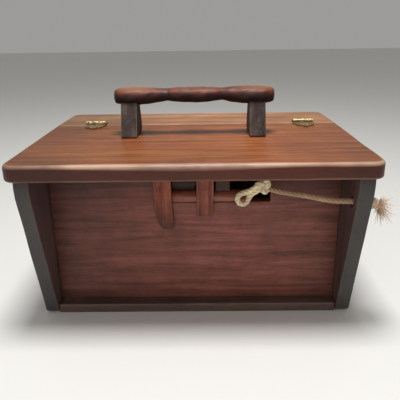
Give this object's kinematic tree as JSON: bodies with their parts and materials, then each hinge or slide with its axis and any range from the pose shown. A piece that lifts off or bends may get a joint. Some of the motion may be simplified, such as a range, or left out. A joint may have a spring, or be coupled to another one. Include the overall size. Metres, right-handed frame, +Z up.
{
  "type": "carrying box",
  "caption": "Wooden carrying box with a hinged lid board, carved handle on two posts, brass hinges and a sliding bolt drawn by a cord through the end board.",
  "frame": {"origin": "on the floor under the middle of the lid's outline", "axes": "+X along the lid's long side, towards the end the cord leaves by; -Y is the front with the bolt; +Z is up"},
  "size_m": [0.3175, 0.24, 0.2056],
  "materials": {
    "lid_wood": "oiled hardwood board, worn arris",
    "rear_wood": "oiled hardwood board, paler",
    "panel_wood": "dark stained hardwood, horizontal grain",
    "end_wood": "charcoal-stained board",
    "base_wood": "dark stained board",
    "strap_wood": "oiled wood strip",
    "bolt_wood": "rubbed wood rod",
    "handle_wood": "carved and waxed wood",
    "post_wood": "rough-hewn dark wood",
    "catch_wood": "unfinished greyish wood",
    "hinge_brass": "worn stamped brass",
    "nail_steel": "small domed nails",
    "cord_fibre": "twisted natural fibre cord"
  },
  "bodies": {
    "box": {"back_panel": "panel_wood", "base_board": "base_wood", "end_panel_left": "end_wood", "end_panel_right": "end_wood", "front_panel": "panel_wood", "hinge_nail_rear_left_1": "nail_steel", "hinge_nail_rear_left_2": "nail_steel", "hinge_nail_rear_right_1": "nail_steel", "hinge_nail_rear_right_2": "nail_steel", "hinge_pin_left": "hinge_brass", "hinge_pin_right": "hinge_brass", "hinge_rear_leaf_left": "hinge_brass", "hinge_rear_leaf_right": "hinge_brass", "lid_rear_board": "rear_wood", "strap_left": "strap_wood", "strap_right": "strap_wood"},
    "lid": {"handle_bar": "handle_wood", "handle_post_left": "post_wood", "handle_post_right": "post_wood", "hinge_front_leaf_left": "hinge_brass", "hinge_front_leaf_right": "hinge_brass", "hinge_nail_front_left_1": "nail_steel", "hinge_nail_front_left_2": "nail_steel", "hinge_nail_front_right_1": "nail_steel", "hinge_nail_front_right_2": "nail_steel", "lid_catch": "catch_wood", "lid_front_board": "lid_wood"},
    "latch": {"cord_eye": "cord_fibre", "cord_knot": "cord_fibre", "cord_run": "cord_fibre", "cord_tail": "cord_fibre", "latch_bolt": "bolt_wood", "latch_peg": "bolt_wood", "latch_tongue": "catch_wood"}
  },
  "joints": [
    {"name": "lid_hinge", "type": "hinge", "parent": "box", "child": "lid", "pos_m": [0, 0.046, 0.1628], "axis": [-1, 0, 0], "range_deg": [0, 110]},
    {"name": "latch_slide", "type": "slide", "parent": "box", "child": "latch", "axis": [1, 0, 0], "range_m": [0, 0.016]}
  ]
}
